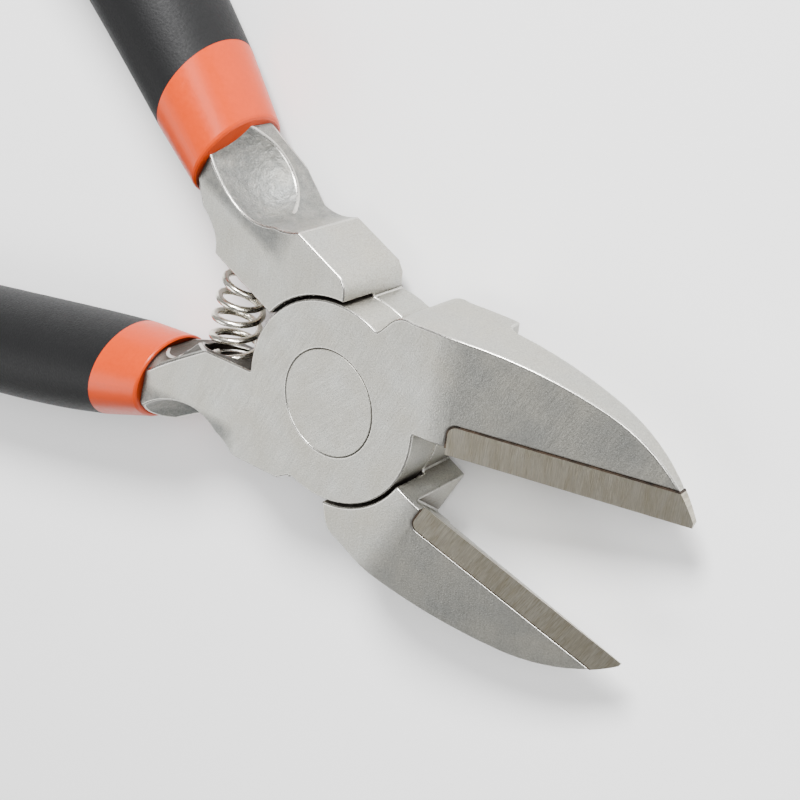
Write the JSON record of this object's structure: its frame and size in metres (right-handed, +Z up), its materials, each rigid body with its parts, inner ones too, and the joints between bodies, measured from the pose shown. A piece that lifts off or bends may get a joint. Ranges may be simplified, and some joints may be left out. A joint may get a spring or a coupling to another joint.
{
  "type": "diagonal cutting pliers",
  "caption": "Diagonal cutting pliers with a lap joint and flush rivet, brazed carbide cutting inserts, a return spring between the arms, and sleeved grips with contrasting collars.",
  "frame": {"origin": "on the pivot axis at the joint's lower flat face", "axes": "+X from the pivot towards the jaws, +Z up out of the upper face of the joint; the tool rests half open about the XZ plane"},
  "size_m": [0.1527, 0.112, 0.0142],
  "materials": {
    "forged_steel": "satin bead-blasted",
    "rivet_steel": "satin ground flush",
    "carbide": "ground",
    "braze": "dull oxidised",
    "spring_wire": "nickel plated",
    "collar_vinyl": "semi-gloss dipped vinyl",
    "grip_vinyl": "fine-grained matte vinyl"
  },
  "bodies": {
    "front_half": {"front_lever": "forged_steel", "front_carbide_insert": "carbide", "front_braze": "braze", "front_collar": "collar_vinyl", "front_grip": "grip_vinyl", "pivot_rivet": "rivet_steel", "return_spring": "spring_wire"},
    "back_half": {"back_lever": "forged_steel", "back_carbide_insert": "carbide", "back_braze": "braze", "back_collar": "collar_vinyl", "back_grip": "grip_vinyl"}
  },
  "joints": [
    {"name": "pivot", "type": "hinge", "parent": "front_half", "child": "back_half", "pos_m": [0, 0, 0.0048], "axis": [0, 0, 1], "range_deg": [-20, 26.2], "stiffness_Nm_per_rad": 1.5, "deforming": ["return_spring"]}
  ]
}
